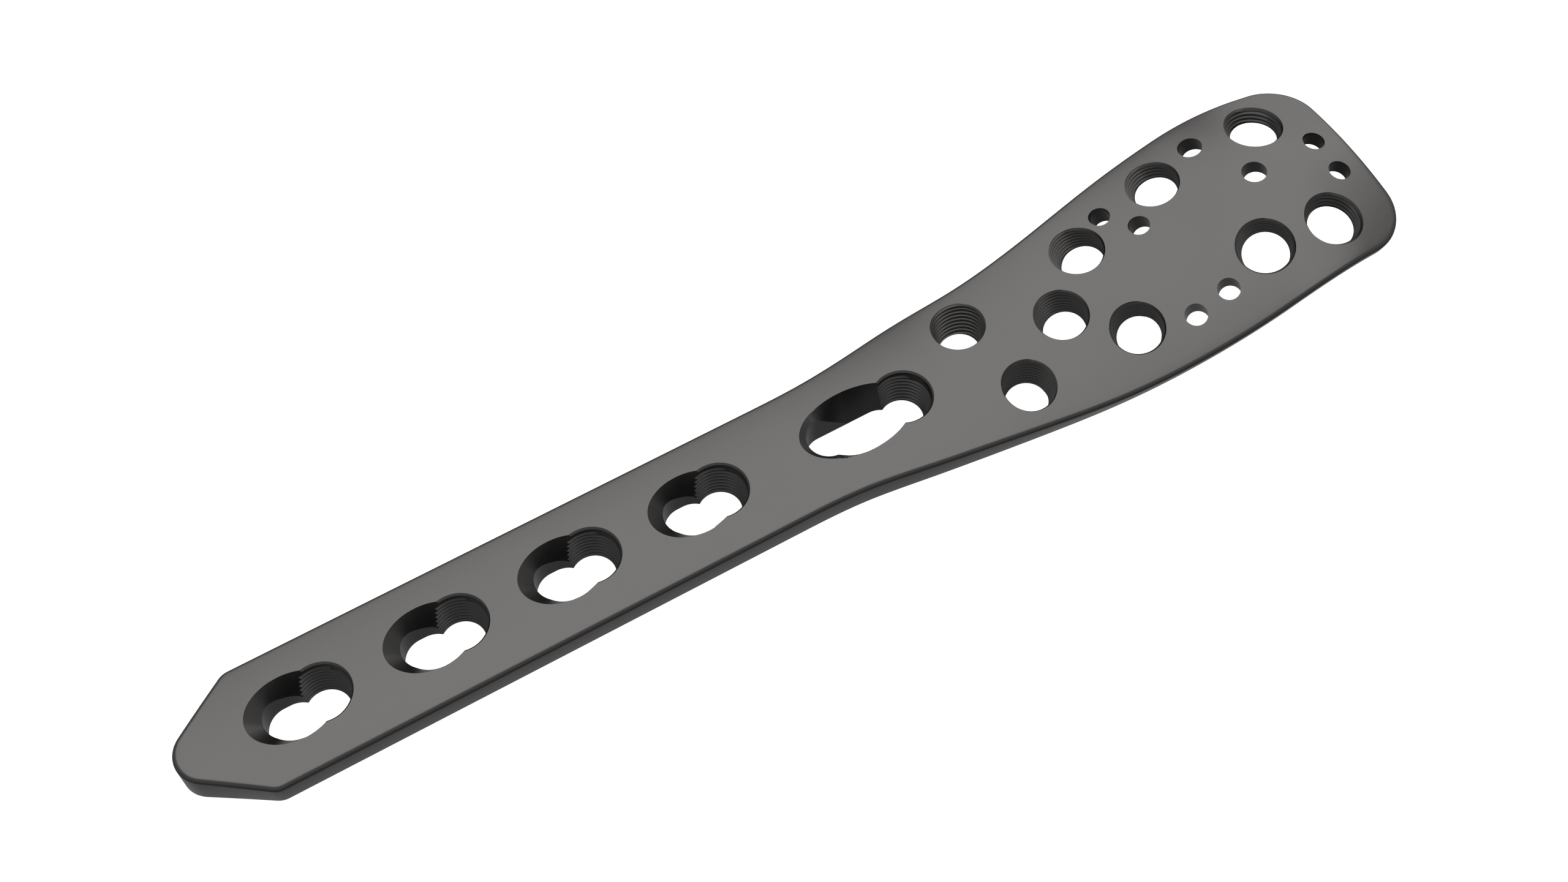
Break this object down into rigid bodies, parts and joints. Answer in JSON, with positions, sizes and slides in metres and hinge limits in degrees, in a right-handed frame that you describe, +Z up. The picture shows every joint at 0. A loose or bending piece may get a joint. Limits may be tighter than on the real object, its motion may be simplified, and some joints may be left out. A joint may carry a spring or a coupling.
{
  "type": "bone plate",
  "caption": "Long low-profile bone plate with a pointed shaft, threaded and slotted combination holes, and a wide, bent and twisted head with angled screw and wire holes.",
  "frame": {"origin": "on the plane of the shaft's flat underside, on the plate's centre line, in the middle of the land between the last short combination hole and the long one", "axes": "+X along the shaft towards the wide head, +Y across the plate towards the far side in the picture, +Z up out of the crowned top face"},
  "size_m": [0.1224, 0.0221, 0.0092],
  "materials": {
    "titanium": "fine matte dark grey anodised titanium"
  },
  "bodies": {
    "root": {"bone_plate": "titanium"}
  },
  "joints": []
}
